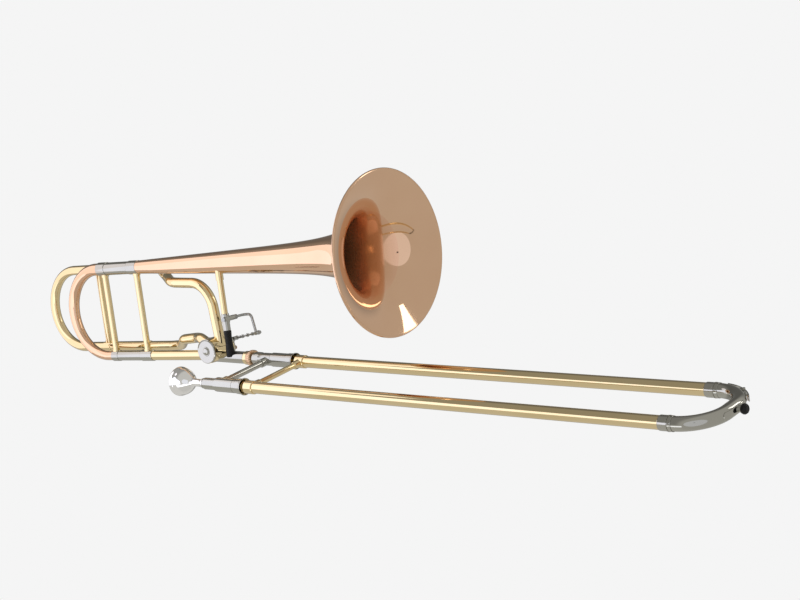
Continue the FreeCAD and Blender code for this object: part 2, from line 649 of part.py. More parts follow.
def ports():
    """The four tube bores where they pass through the valve casing."""
    low = VALVE_Z - PORT_OFFSET
    high = VALVE_Z + PORT_OFFSET
    right = VALVE_X + PORT_OFFSET
    return [rod(vec(VALVE_X - 25, 0, low), vec(VALVE_X, 0, low), PORT_R),
            rod(vec(VALVE_X, 0, low), vec(VALVE_X + 25, 0, low), PORT_R),
            rod(vec(VALVE_X - 25, 0, high), vec(VALVE_X, 0, high), PORT_R),
            rod(vec(right, 0, VALVE_Z), vec(right, 0, VALVE_Z + 25), PORT_R)]


def valve():
    casing = casing_space().cut(along_y(VALVE_X, VALVE_Z, -CASING_HALF, CASING_HALF, CASING_BORE_R))
    for port in ports():
        casing = casing.cut(port)
    save_bell("valve_casing", casing.removeSplitter())
    axis = vec(VALVE_X, 0, VALVE_Z)
    front = CASING_HALF
    cap = turned([(front, 0), (front, CASING_R - 0.9), (front + 0.7, CASING_R - 0.3), (front + 2.2, CASING_R - 0.3),
                  (front + 2.8, CASING_R - 1.2), (front + 2.4, CASING_R - 2.6), (front + 2.4, 6.8),
                  (front + 3.2, 6.2), (front + 3.2, 0)], axis, vec(0, -1, 0))
    socket = along_y(VALVE_X, VALVE_Z, -front - 1.6, -front, SPINDLE_R + 0.05)
    save_bell("valve_cap", cap.cut(socket))
    dome = turned([(front + 3.2, 0), (front + 3.2, 5.4), (front + 3.9, 5.3), (front + 4.9, 4.5),
                   (front + 5.6, 3.0), (front + 5.9, 1.4), (front + 5.95, 0)], axis, vec(0, -1, 0))
    save_bell("valve_cap_finial", dome)
    plate = turned([(front, SPINDLE_R + 0.05), (front, CASING_R - 0.6), (front + 0.6, CASING_R - 0.2),
                    (front + 2.4, CASING_R - 0.2), (front + 3, CASING_R - 0.9), (front + 3, 7),
                    (front + 5, 6.4), (front + 5, SPINDLE_R + 0.05)], axis, Y)
    save_bell("rear_bearing_plate", plate, *stop_cork_posts())
    rotor = along_y(VALVE_X, VALVE_Z, -CASING_HALF + 0.3, CASING_HALF - 0.3, ROTOR_R)
    for offset in (-PORT_OFFSET, PORT_OFFSET):
        height = VALVE_Z + offset
        rotor = rotor.cut(rod(vec(VALVE_X - 20, 0, height), vec(VALVE_X + 20, 0, height), PORT_R))
    rotor = rotor.fuse(along_y(VALVE_X, VALVE_Z, -CASING_HALF - 1.2, ARM_Y + 4.5, SPINDLE_R))
    save_bell("valve_rotor", rotor.removeSplitter())


def on_arm(radius, angle, y):
    """A point around the rotor's axis; angle 0 is along the bell section's X."""
    turn = math.radians(angle)
    return vec(VALVE_X + radius * math.cos(turn), y, VALVE_Z + radius * math.sin(turn))


def flat_link(start, end, width, thick):
    """A flat bar with round ends; start and end are on its lower face."""
    along = end.sub(start)
    across = along.cross(Y).normalize().multiply(width / 2)
    corners = [start.add(across), end.add(across), end.sub(across), start.sub(across)]
    bar = Part.Face(Part.makePolygon(corners + [corners[0]])).extrude(vec(0, thick, 0))
    for centre in (start, end):
        bar = bar.fuse(Part.makeCylinder(width / 2, thick, centre, Y))
    return bar


def stop_arm():
    arm = flat_link(on_arm(0, 0, ARM_Y), on_arm(ARM_LENGTH, ARM_ANGLE, ARM_Y), 5.6, 3.0)
    tail = flat_link(on_arm(0, 0, ARM_Y), on_arm(STOP_RADIUS, ARM_ANGLE + 180, ARM_Y), 4.6, 3.0)
    hub = Part.makeCylinder(5.4, 3.6, on_arm(0, 0, ARM_Y), Y)
    boss = Part.makeCylinder(2.6, LINK_Y - 2.4 - ARM_Y, on_arm(ARM_LENGTH, ARM_ANGLE, ARM_Y), Y)
    spindle = along_y(VALVE_X, VALVE_Z, 0, ARM_Y + 10, SPINDLE_R)
    screw = along_y(VALVE_X, VALVE_Z, ARM_Y + 4.5, ARM_Y + 5.9, 2.8)
    save_bell("stop_arm", arm.fuse(tail).fuse(hub).fuse(boss).cut(spindle).removeSplitter(), screw)


def stop_cork_feet():
    """Where the two cork posts stand on the rear bearing plate, a quarter turn of the rotor apart."""
    return [on_arm(STOP_RADIUS + 1, ARM_ANGLE + angle, CASING_HALF + 3) for angle in (180 - 31, 270 + 31)]


def stop_cork_posts():
    return [Part.makeCylinder(1.5, 6.4, foot, Y) for foot in stop_cork_feet()]


def stop_corks():
    corks = []
    for foot in stop_cork_feet():
        body = Part.makeCylinder(2.6, 3.2, vec(foot.x, ARM_Y - 0.1, foot.z), Y)
        corks.append(body.cut(Part.makeCylinder(1.5, 10, foot, Y)))
    save_bell("stop_corks", *corks)


# ---------------------------------------------------------------- F attachment

def f_tubes():
    """The F loop's fixed tubes, from the valve's two upper ports to its tuning slide."""
    right = VALVE_X + PORT_OFFSET
    upper = [vec(right, 0, VALVE_Z + 6), vec(right, 0, 28), vec(22.5, 0, 102.5), vec(-58, 5, 105.3)]
    upper += [vec(-82, 20, 112), vec(-112, F_Y, F_UPPER_Z), vec(F_LEG_END + 2, F_Y, F_UPPER_Z)]
    upper_bends = [120, 40, 40, 22, 22]
    high = VALVE_Z + PORT_OFFSET
    lower = [vec(VALVE_X - 6, 0, high), vec(3, 0, high), vec(-12, 4, 23.5), vec(-28, 13, 23), vec(-62, 17, 20)]
    lower += [vec(-84, F_Y - 1, 9), vec(-106, F_Y, F_LOWER_Z), vec(F_LEG_END + 2, F_Y, F_LOWER_Z)]
    lower_bends = [16, 18, 24, 16, 16, 30]
    casing = casing_space()
    for name, points, bends in (("f_loop_upper_tube", upper, upper_bends), ("f_loop_lower_tube", lower, lower_bends)):
        save_bell(name, bent_tube(points, bends, F_TUBE_R, F_BORE_R).cut(casing))


def f_legs():
    """The F loop's tuning slide: fixed legs and their ferrules, and moving legs and their rings."""
    fixed = []
    ferrules = []
    inner = []
    moving = []
    slim = LOWER_LEG_R - LEG_WALL - FIT_GAP
    tube_end = F_LEG_END + 2
    for height in (F_UPPER_Z, F_LOWER_Z):
        start = vec(F_RING_END + 0.1, F_Y, height)
        fixed.append(tube(start, vec(tube_end, F_Y, height), LOWER_LEG_R, LOWER_LEG_R - LEG_WALL))
        outline = [(F_LEG_END - 6, LOWER_LEG_R), (F_LEG_END - 6, 7.9), (F_LEG_END - 5.4, F_FERRULE_R)]
        outline += [(F_LEG_END + 7.4, F_FERRULE_R), (F_LEG_END + 8, 7.8), (F_LEG_END + 8, F_TUBE_R)]
        outline += [(tube_end, F_TUBE_R), (tube_end, LOWER_LEG_R)]
        ferrules.append(turned(outline, vec(0, F_Y, height), X))
        inner.append(tube(vec(F_RING_START + RING_GRIP, F_Y, height), vec(F_LEG_END - 6, F_Y, height),
                          slim, slim - INNER_LEG_WALL))
        moving.append(moving_ring(F_RING_START, F_RING_END, height, F_Y, LOWER_LEG_R, F_CROOK_R))
    save_bell("f_slide_outer_legs", *fixed)
    save_bell("f_slide_leg_ferrules", *ferrules)
    save_bell("f_slide_inner_legs", *inner)
    save_bell("f_slide_ferrules", *moving)


def f_crook():
    bend = (F_UPPER_Z - F_LOWER_Z) / 2
    far = F_CROOK_CENTRE_X - bend
    end = F_RING_START + RING_GRIP
    middle = (F_UPPER_Z + F_LOWER_Z) / 2
    halves = []
    for height in (F_LOWER_Z, F_UPPER_Z):
        points = [vec(end, F_Y, height), vec(far, F_Y, height), vec(far, F_Y, middle)]
        halves.append(quarter_bend(points, bend, F_CROOK_R).cut(quarter_bend(points, bend, F_CROOK_BORE_R)))
    save_bell("f_crook", fused(halves))
    ring_r = LOWER_LEG_R + RING_RISE
    save_bell("f_slide_brace", brace(F_BRACE_X, F_Y, F_LOWER_Z, ring_r, F_UPPER_Z, ring_r))


def quarter_bend(points, bend, radius):
    """A round bar: a straight run and one quarter bend that ends exactly at the last point."""
    start, corner, end = points
    into = corner.sub(start).normalize()
    arc_start = corner.sub(vec(*into).multiply(bend))
    normal = into.cross(end.sub(corner).normalize())
    centre = arc_start.add(normal.cross(into).multiply(bend))
    face = Part.Face(Part.Wire(Part.makeCircle(radius, arc_start, into)))
    return fused([rod(start, arc_start, radius), face.revolve(centre, normal, 90)])


def f_loop_stays():
    """Two short cross stays that hold the F loop to the bell tube and to the gooseneck."""
    stays = []
    for near_z, near_r, far_z in ((BELL_HEIGHT, UPPER_LEG_R, F_UPPER_Z), (0, LOWER_LEG_R, F_LOWER_Z)):
        stay = rod(vec(STAY_X, 0, near_z), vec(STAY_X, F_Y, far_z), STAY_R)
        for y, z, radius in ((0, near_z, near_r), (F_Y, far_z, F_FERRULE_R)):
            stay = stay.cut(rod(vec(STAY_X - 20, y, z), vec(STAY_X + 20, y, z), radius))
        stays.append(stay)
    save_bell("f_loop_stays", *stays)


# ---------------------------------------------------------------- bell brace and thumb lever

def bell_brace():
    """The left-hand post between the bell and the receiver, with a rubber grip at its foot."""
    base = vec(POST_X, POST_Y, 0)
    receiver_space = placed_inverse(slide_rod(1, -115, -30, 8.5))
    sleeve_low = 36
    sleeve_high = 60
    foot_low = 107
    top = base.add(vec(0, 0, BELL_HEIGHT - 6))
    post = rod(base.add(vec(0, 0, sleeve_high)), top, POST_R)
    foot = rod(base.add(vec(0, 0, foot_low)), top, POST_R + 1.0)
    save_bell("bell_post", post.fuse(foot).cut(sheet_space()).removeSplitter())
    core = rod(base.add(vec(0, 0, 2)), base.add(vec(0, 0, sleeve_low)), POST_CORE_R)
    sleeve = turned([(sleeve_low, POST_CORE_R), (sleeve_low, 4.6), (36.6, 5.0), (47, 5.0), (47, 5.5), (58.4, 5.5),
                     (sleeve_high, 5.1), (sleeve_high, 0), (37, 0), (37, POST_CORE_R)], base, Z)
    hinge = rod(vec(LEVER_X, POST_Y - 6.2, LEVER_Z), vec(LEVER_X, POST_Y + 13, LEVER_Z), 3.5)
    bore = rod(vec(LEVER_X, POST_Y - 9, LEVER_Z), vec(LEVER_X, POST_Y + 20, LEVER_Z), LEVER_ROD_R + 0.05)
    block = sleeve.cut(core).fuse(hinge).cut(bore).removeSplitter()
    save_bell("lever_hinge_block", block, core.cut(receiver_space))
    grip = turned([(-1, POST_CORE_R), (-1, 5.6), (0.5, 6.1), (7, 6.0), (18, 5.1), (28, 5.0), (34, 5.5),
                   (35.6, 5.2), (35.6, POST_CORE_R)], base, Z)
    save_bell("grip_sleeve", grip.cut(receiver_space))


def sheet_space():
    """The bell's stem as a plain solid, for trimming what is soldered to it."""
    low = POST_X - 12
    high = POST_X + 12
    radii = [bell_radius(SHEET_END_X - x) for x in (low, high)]
    return turned([(low, 0), (low, radii[0]), (high, radii[1]), (high, 0)], bell_axis(0), X)


def placed_inverse(solid):
    """A copy of a solid, moved from the object's frame to the bell section's frame."""
    copy = solid.copy()
    copy.Placement = BELL_PLACE.inverse().multiply(copy.Placement)
    return copy


def thumb_lever():
    points = [vec(LEVER_X, POST_Y - 6.4, LEVER_Z), vec(LEVER_X, LEVER_PLANE_Y, LEVER_Z)]
    points += [vec(LEVER_X + 13, LEVER_PLANE_Y, LEVER_Z), vec(LINK_PIN_X, LEVER_PLANE_Y, LINK_PIN_Z)]
    lever = bent_rod(points, [6, 6.5], LEVER_ROD_R)
    lever = lever.fuse(rod(points[0], points[0].sub(vec(0, 1.2, 0)), 3.0))
    eye_half = LEVER_ROD_R + 0.25
    lever = lever.fuse(along_y(LINK_PIN_X, LINK_PIN_Z, LEVER_PLANE_Y - eye_half, LEVER_PLANE_Y + eye_half, 2.6))
    pin = along_y(LINK_PIN_X, LINK_PIN_Z, LEVER_PLANE_Y, LINK_Y + 2.3, 1.2)
    nut = along_y(LINK_PIN_X, LINK_PIN_Z, LINK_Y + 2.3, LINK_Y + 3.5, 2.2)
    save_bell("thumb_lever", lever.fuse(pin).removeSplitter(), nut)


def lever_spring():
    """Return spring: close coils round the lever's shaft."""
    coils = []
    for index in range(5):
        y = POST_Y + 13.7 + 1.15 * index
        coils.append(Part.makeTorus(2.9, 0.5, vec(LEVER_X, y, LEVER_Z), Y))
    save_bell("lever_spring", *coils)


def link_rod():
    """The adjustable link between the lever and the rotor's stop arm: socket, lock nuts, rod, socket."""
    pin_end = vec(LINK_PIN_X, LINK_Y, LINK_PIN_Z)
    arm_end = on_arm(ARM_LENGTH, ARM_ANGLE, LINK_Y)
    length = pin_end.sub(arm_end).Length
    unit = pin_end.sub(arm_end).normalize()
    sockets = []
    for centre, sign, pin_hole_r in ((arm_end, 1, 1.4), (pin_end, -1, 1.26)):
        eye = Part.makeSphere(3.1, centre)
        eye = eye.common(Part.makeBox(12, 4, 12, centre.sub(vec(6, 2, 6))))
        neck_start = centre.add(vec(*unit).multiply(sign * 2.0))
        neck_end = centre.add(vec(*unit).multiply(sign * LINK_SOCKET))
        eye = eye.fuse(rod(neck_start, neck_end, 1.9))
        sockets.append(eye.cut(along_y(centre.x, centre.z, LINK_Y - 4, LINK_Y + 4, pin_hole_r)).removeSplitter())
    start = arm_end.add(vec(*unit).multiply(LINK_SOCKET))
    bar_length = length - 2 * LINK_SOCKET
    rod_r = 1.3
    nut_r = 2.5
    outline = [(0, 0), (0, rod_r)]
    for nut_start in (2.0, bar_length / 2 - 1.6, bar_length - 5.0):
        outline += [(nut_start, rod_r), (nut_start + 0.4, nut_r), (nut_start + 2.6, nut_r), (nut_start + 3.0, rod_r)]
    outline += [(bar_length, rod_r), (bar_length, 0)]
    save_bell("link_rod", turned(outline, start, unit), *sockets)


# ---------------------------------------------------------------- build

inner_tubes()
stockings()
barrels()
barrel_bumpers()
lock_ring()
mouthpiece_receiver()
leadpipe()
tenon()
left_hand_brace()
mouthpiece()
lock_nut()
outer_tubes()
right_hand_brace()
bow()
bow_sleeves()
bumper()
water_key()
bell()
fixed_ferrules()
legs()
tuning_slide()
gooseneck()
receiver()
valve()
stop_arm()
stop_corks()
f_tubes()
f_legs()
f_crook()
f_loop_stays()
bell_brace()
thumb_lever()
lever_spring()
link_rod()
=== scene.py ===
import json
import math

import bpy
from mathutils import Euler, Matrix, Vector


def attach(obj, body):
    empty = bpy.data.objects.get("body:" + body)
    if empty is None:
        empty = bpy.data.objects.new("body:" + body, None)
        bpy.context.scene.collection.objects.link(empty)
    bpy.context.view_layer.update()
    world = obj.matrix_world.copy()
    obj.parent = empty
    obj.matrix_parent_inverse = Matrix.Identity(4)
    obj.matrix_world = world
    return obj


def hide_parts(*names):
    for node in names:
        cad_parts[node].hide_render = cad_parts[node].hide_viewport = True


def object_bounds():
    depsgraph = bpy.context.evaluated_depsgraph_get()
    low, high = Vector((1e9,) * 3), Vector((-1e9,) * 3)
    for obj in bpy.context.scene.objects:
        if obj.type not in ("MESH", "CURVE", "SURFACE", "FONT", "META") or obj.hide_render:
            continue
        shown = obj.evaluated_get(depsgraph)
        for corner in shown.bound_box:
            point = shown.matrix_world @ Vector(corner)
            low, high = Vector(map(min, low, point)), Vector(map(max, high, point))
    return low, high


# Looks for a tenor trombone with an F attachment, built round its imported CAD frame. Lengths are in metres.

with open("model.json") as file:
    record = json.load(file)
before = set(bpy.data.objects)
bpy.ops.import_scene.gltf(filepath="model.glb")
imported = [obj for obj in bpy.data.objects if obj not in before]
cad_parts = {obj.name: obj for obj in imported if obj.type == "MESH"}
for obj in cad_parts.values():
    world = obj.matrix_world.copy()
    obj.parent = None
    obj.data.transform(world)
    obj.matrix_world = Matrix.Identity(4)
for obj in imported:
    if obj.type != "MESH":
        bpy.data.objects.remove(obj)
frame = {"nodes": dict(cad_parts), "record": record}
cad_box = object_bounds()

# ---- camera ----
SENSOR_WIDTH = 36.0
FOCAL_LENGTH = 72.35
CAMERA_AZIMUTH = 42.897
CAMERA_ELEVATION = 14.482
CAMERA_ROLL = -11.261
CAMERA_PLACE = Vector((1.578267, -1.369966, 0.592076))

# ---- stage ----
FLOOR_DROP = 0.42
FLOOR_HALF = 60.0
PALE = (0.913, 0.913, 0.913)
VIEW_END = 200.0

# ---- studio, as polished metal sees it ----
ABOVE_LIGHT = 0.33
BELOW_LIGHT = 0.62
FRONT_LIGHT = 0.56
BEHIND = (-0.66, 0.75, 0.0)
BEHIND_SHADE = 0.5
STEM_CARD_LIGHT = 1.36
SLIDE_CARD_LIGHT = 1.62
LOW_CARD_LIGHT = 1.9
STRIP_LIGHT = 3.2
LENS_CARD_LIGHT = 0.85
WARM = (1.0, 0.985, 0.94)
COOL = (0.96, 0.98, 1.05)
PINKISH = (1.0, 0.95, 1.0)
BLUISH = (0.95, 0.965, 1.11)
NEUTRAL = (1.0, 0.99, 0.97)

# Upright cards stand along a line of stations, each (x, y, lowest z, highest z).
STEM_CARD = ((-1.00, 0.08, -0.16, 1.10), (-0.72, -0.09, -0.16, 1.10), (-0.60, -0.15, -0.06, 1.05),
             (-0.36, -0.36, -0.04, 0.80))
SLIDE_CARD = ((-0.56, -0.16, -0.10, 0.50), (-0.30, -0.40, -0.06, 0.42), (-0.12, -0.58, -0.05, 0.37),
              (0.02, -0.73, -0.05, 0.37), (0.20, -0.90, -0.05, 0.36))
LOW_CARD = ((-0.38, -1.90, -0.85, -0.30), (0.75, -1.60, -0.85, -0.30))
RIGHT_STRIP = ((1.63, 1.50, 0.20, 1.36), (1.45, 1.67, 0.20, 1.36))
LENS_CARD_PLACE = Vector((1.85, -1.78, 0.60))
ROUND_CORNERS = 48

# Half the width and half the height of the round cards.
LENS_CARD_WIDE = 1.15
LENS_CARD_TALL = 1.9
LENS_HALF = 0.06

# ---- bell, in its own frame: x runs along its axis ----
BELL_ORIGIN = Vector((-0.1257, 0.049, 0.0))
BELL_TURN = Euler((math.radians(-8.223), math.radians(-2.133), math.radians(2.5)), "XYZ")
BELL_HEIGHT = 0.1308
BELL_TAIL_X = -0.128
BELL_TAIL_R = 0.0093
SHEET_END_X = 0.35855
SHEET_END_R = 0.1065
STEM_SLOPE = 0.034
THROAT_RISE = 0.066
THROAT_LENGTH = 0.038
LIP_LENGTH = 0.008
BELL_WALL = 0.0007
BELL_STATIONS = 160
# The bore's painted shade and its dullness grow between these distances in from the sheet's edge.
BORE_START = 0.03
BORE_SHINE_END = 0.13

# ---- mouthpiece: (distance from the rim, radius), in millimetres ----
MOUTHPIECE_RIM_X = -0.079
SLIDE_Y = 0.049
MOUTHPIECE_OUTSIDE = [
    (1.4, 13.2), (0.3, 14.2), (0.0, 16.0), (0.5, 18.2), (1.8, 19.4), (4.0, 19.9), (6.5, 19.5), (9.0, 18.6),
    (13.0, 17.6), (17.0, 15.9), (21.0, 13.3), (25.0, 10.2), (28.0, 7.9), (31.0, 6.2), (34.0, 5.4),
    (41.0, 5.1), (45.0, 5.4), (48.0, 6.2), (50.0, 6.9), (51.5, 6.9), (52.3, 6.4), (80.0, 5.93)]
MOUTHPIECE_INSIDE = [
    (80.0, 5.3), (40.0, 3.9), (31.0, 3.3), (27.0, 3.5), (24.0, 5.2), (21.0, 7.6), (17.0, 9.9), (12.0, 11.7),
    (6.0, 12.6), (1.4, 13.2)]
MILLIMETRE = 0.001

# ---- turned pieces ----
LATHE_SIDES = 240
SHARP_EDGE = math.radians(35)
CURVE_STEPS = 5


# ---------------------------------------------------------------- node helpers

class Shader:
    """A material's node tree, with short calls for adding nodes and wiring them."""

    def __init__(self, name):
        self.material = bpy.data.materials.new(name)
        self.material.use_nodes = True
        self.tree = self.material.node_tree
        self.surface = self.tree.nodes["Principled BSDF"]

    def node(self, kind, **settings):
        made = self.tree.nodes.new(kind)
        for key, value in settings.items():
            setattr(made, key, value)
        return made

    def link(self, source, target):
        self.tree.links.new(source, target)

    def value(self, socket, amount):
        self.surface.inputs[socket].default_value = amount

    def noise(self, scale, detail=3.0, stretch=(1, 1, 1)):
        """Noise in the object's own coordinates, stretched along an axis where asked."""
        place = self.node("ShaderNodeTexCoord")
        mapping = self.node("ShaderNodeMapping")
        mapping.inputs["Scale"].default_value = stretch
        pattern = self.node("ShaderNodeTexNoise")
        pattern.inputs["Scale"].default_value = scale
        pattern.inputs["Detail"].default_value = detail
        self.link(place.outputs["Object"], mapping.inputs["Vector"])
        self.link(mapping.outputs["Vector"], pattern.inputs["Vector"])
        return pattern.outputs["Fac"]

    def spread(self, source, low, high, start=0.35, end=0.65):
        """Maps a pattern to a range of numbers."""
        scale = self.node("ShaderNodeMapRange")
        scale.inputs["From Min"].default_value = start
        scale.inputs["From Max"].default_value = end
        scale.inputs["To Min"].default_value = low
        scale.inputs["To Max"].default_value = high
        self.link(source, scale.inputs["Value"])
        return scale.outputs["Result"]

    def ramp(self, source, *stops):
        """Maps a pattern to colours. Each stop is (position, colour)."""
        colours = self.node("ShaderNodeValToRGB")
        elements = colours.color_ramp.elements
        while len(elements) < len(stops):
            elements.new(0.5)
        for element, (position, colour) in zip(elements, stops):
            element.position = position
            element.color = (*colour, 1)
        self.link(source, colours.inputs["Fac"])
        return colours.outputs["Color"]

    def bump(self, height, strength, distance):
        bump = self.node("ShaderNodeBump")
        bump.inputs["Strength"].default_value = strength
        bump.inputs["Distance"].default_value = distance
        self.link(height, bump.inputs["Height"])
        self.link(bump.outputs["Normal"], self.surface.inputs["Normal"])


def polished_metal(name, dark, light, smooth, dull, coat=0.0):
    """Polished metal: slowly drifting colour, roughness from handling marks, and a faintly wavy surface."""
    shader = Shader(name)
    shader.value("Metallic", 1.0)
    shader.value("Coat Weight", coat)
    shader.value("Coat Roughness", 0.04)
    drift = shader.noise(9.0, 4.0)
    colour = shader.ramp(drift, (0.3, dark), (0.7, light))
    shader.link(colour, shader.surface.inputs["Base Color"])
    marks = shader.noise(70.0, 6.0, (0.35, 1, 1))
    shader.link(shader.spread(marks, smooth, dull), shader.surface.inputs["Roughness"])
    shader.bump(shader.noise(90.0, 2.0), 0.02, 0.0003)
    return shader.material


def rubber(name, colour, worn, roughness):
    """Moulded rubber: fine grain and slightly greyer worn patches."""
    shader = Shader(name)
    patches = shader.noise(120.0, 4.0)
    shader.link(shader.ramp(patches, (0.35, colour), (0.75, worn)), shader.surface.inputs["Base Color"])
    shader.value("Specular IOR Level", 0.3)
    shader.link(shader.spread(patches, roughness - 0.08, roughness + 0.1), shader.surface.inputs["Roughness"])
    shader.bump(shader.noise(1500.0, 3.0), 0.25, 0.0003)
    return shader.material


def bore_with_painted_shade(name):
    """The inside of the bell's stem: polished near the flare and duller further in. Painted shade darkens its
    colour towards brown deeper in, broken by stain streaks.
    """
    shader = Shader(name)
    place = shader.node("ShaderNodeTexCoord")
    split = shader.node("ShaderNodeSeparateXYZ")
    shader.link(place.outputs["Object"], split.inputs["Vector"])
    deep = SHEET_END_X - BORE_SHINE_END
    depth = shader.spread(split.outputs["X"], 1.0, 0.0, deep, SHEET_END_X - BORE_START)
    stains = shader.noise(40.0, 4.0, (1, 1, 0.15))
    shade = shader.node("ShaderNodeMath", operation="MULTIPLY_ADD")
    shader.link(stains, shade.inputs[0])
    shade.inputs[1].default_value = 0.25
    shader.link(depth, shade.inputs[2])
    # Painted shade: the colour darkens from the flare's rose to deep brown further into the bore.
    colour = shader.ramp(shade.outputs["Value"], (0.1, (0.80, 0.49, 0.32)), (0.6, (0.62, 0.33, 0.16)),
                         (1.0, (0.30, 0.15, 0.07)))
    shader.link(colour, shader.surface.inputs["Base Color"])
    shader.link(shader.spread(depth, 1.0, 0.55, 0.0, 1.0), shader.surface.inputs["Metallic"])
    shader.link(shader.spread(depth, 0.06, 0.45, 0.0, 1.0), shader.surface.inputs["Roughness"])
    return shader.material


def cork_material(name):
    """Pressed cork: warm grains with dark pits."""
    shader = Shader(name)
    grains = shader.noise(900.0, 5.0)
    colour = shader.ramp(grains, (0.3, (0.16, 0.08, 0.035)), (0.5, (0.42, 0.25, 0.12)),
                         (0.7, (0.56, 0.36, 0.19)))
    shader.link(colour, shader.surface.inputs["Base Color"])
    shader.value("Roughness", 0.85)
    shader.bump(grains, 0.5, 0.0004)
    return shader.material


MATERIALS = {
    "rose_brass": polished_metal("rose_brass", (0.775, 0.49, 0.31), (0.825, 0.54, 0.35), 0.03, 0.07, 0.3),
    "yellow_brass": polished_metal("yellow_brass", (0.78, 0.62, 0.34), (0.83, 0.67, 0.39), 0.03, 0.07, 0.3),
    "nut_brass": polished_metal("nut_brass", (0.62, 0.40, 0.24), (0.70, 0.47, 0.30), 0.14, 0.24, 0.2),
    "nickel_silver": polished_metal("nickel_silver", (0.44, 0.43, 0.385), (0.50, 0.487, 0.435), 0.04, 0.09),
    "silver_plate": polished_metal("silver_plate", (0.88, 0.87, 0.85), (0.95, 0.94, 0.92), 0.03, 0.08),
    "grey_steel": polished_metal("grey_steel", (0.34, 0.34, 0.325), (0.44, 0.44, 0.42), 0.18, 0.3),
    "black_rubber": rubber("black_rubber", (0.003, 0.003, 0.003), (0.008, 0.008, 0.008), 0.5),
    "cork": cork_material("cork"),
}


# ---------------------------------------------------------------- CAD nodes

def finish_nodes():
    """Gives each CAD node the material of its slot."""
    slots = {part["node"]: part["material_slot"] for part in frame["record"]["subparts"]}
    for name, node in frame["nodes"].items():
        if not node.material_slots:
            node.data.materials.append(None)
        for place in node.material_slots:
            place.material = MATERIALS[slots[name]]


# ---------------------------------------------------------------- smooth turned pieces

def curve_value(a, b, c, d, t):
    """A number on the smooth curve from b to c, between neighbours a and d; t runs from 0 to 1."""
    slope = (c - a) * t
    bend = (2 * a - 5 * b + 4 * c - d) * t ** 2
    twist = (3 * b - a - 3 * c + d) * t ** 3
    return 0.5 * (2 * b + slope + bend + twist)


def smooth_points(points):
    """Adds points to an outline so that it bends smoothly through the given ones."""
    padded = [points[0]] + points + [points[-1]]
    result = []
    for neighbours in zip(padded, padded[1:], padded[2:], padded[3:]):
        for step in range(CURVE_STEPS):
            result.append(tuple(curve_value(*numbers, step / CURVE_STEPS) for numbers in zip(*neighbours)))
    return result + [points[-1]]


def lathe(name, outline, place):
    """A closed outline of (x, radius) corners, turned about the x axis of place."""
    sides = LATHE_SIDES
    vertices = []
    for x, radius in outline:
        for side in range(sides):
            angle = 2 * math.pi * side / sides
            vertices.append((x, radius * math.cos(angle), radius * math.sin(angle)))
    rows = len(outline)
    faces = []
    for row in range(rows):
        here = row * sides
        after = (row + 1) % rows * sides
        for side in range(sides):
            beside = (side + 1) % sides
            faces.append((here + side, here + beside, after + beside, after + side))
    mesh = bpy.data.meshes.new(name)
    mesh.from_pydata(vertices, [], faces)
    mesh.polygons.foreach_set("use_smooth", [True] * len(mesh.polygons))
    mesh.set_sharp_from_angle(angle=SHARP_EDGE)
    piece = bpy.data.objects.new(name, mesh)
    bpy.context.scene.collection.objects.link(piece)
    piece.matrix_world = place
    return piece


def stand_for(piece, node, body, slot):
    """Shows a piece instead of a CAD node, moving with the node's body and wearing its slot's finish."""
    piece.data.materials.append(MATERIALS[slot])
    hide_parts(node)
    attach(piece, body)


def bell_radius(back):
    """Outer radius of the bell at a distance back from the edge of its sheet."""
    length = SHEET_END_X - BELL_TAIL_X
    stem = BELL_TAIL_R + STEM_SLOPE * (length - back)
    lip_rise = SHEET_END_R - BELL_TAIL_R - STEM_SLOPE * length - THROAT_RISE
    return stem + THROAT_RISE * math.exp(-back / THROAT_LENGTH) + lip_rise * math.exp(-back / LIP_LENGTH)


def bell_sheet():
    """The bell's flare and stem as one thin sheet, with closer stations near its edge."""
    length = SHEET_END_X - BELL_TAIL_X
    nudge = 0.00001
    outside = []
    inside = []
    for step in range(BELL_STATIONS + 1):
        back = length * (step / BELL_STATIONS) ** 2
        radius = bell_radius(back)
        slope = (bell_radius(back - nudge) - bell_radius(back + nudge)) / (2 * nudge)
        norm = math.hypot(1, slope)
        outside.append((SHEET_END_X - back, radius))
        inside.append((SHEET_END_X - back + BELL_WALL * slope / norm, radius - BELL_WALL / norm))
    place = Matrix.LocRotScale(BELL_ORIGIN, BELL_TURN, None) @ Matrix.Translation((0, 0, BELL_HEIGHT))
    sheet = lathe("bell_sheet", outside + inside[::-1], place)
    stand_for(sheet, "bell_flare", "bell_section", "rose_brass")
    sheet.data.materials.append(bore_with_painted_shade("bell_bore_painted_shade"))
    for face in sheet.data.polygons:
        x, y, z = face.center
        is_inside = math.hypot(y, z) < bell_radius(SHEET_END_X - x) - BELL_WALL / 2
        if is_inside and x < SHEET_END_X - BORE_START:
            face.material_index = 1


def mouthpiece():
    """The cup mouthpiece, turned from smooth curves."""
    corners = smooth_points(MOUTHPIECE_OUTSIDE) + smooth_points(MOUTHPIECE_INSIDE)[:-1]
    place = Matrix.Translation((MOUTHPIECE_RIM_X, -SLIDE_Y, 0)) @ Matrix.Scale(MILLIMETRE, 4)
    piece = lathe("mouthpiece_turned", corners, Matrix.Identity(4))
    piece.data.transform(place)
    stand_for(piece, "mouthpiece", "mouthpiece", "silver_plate")


# ---------------------------------------------------------------- stage

def floor():
    """A plain pale floor, lit so evenly that it shows no edge and no shadow."""
    low = cad_box[0][2] - FLOOR_DROP
    corners = [(x * FLOOR_HALF, y * FLOOR_HALF, low) for x, y in ((-1, -1), (1, -1), (1, 1), (-1, 1))]
    plane = stage_mesh("floor", corners, [(0, 1, 2, 3)], PALE, 1.0)
    plane.visible_glossy = False
    plane.visible_diffuse = False


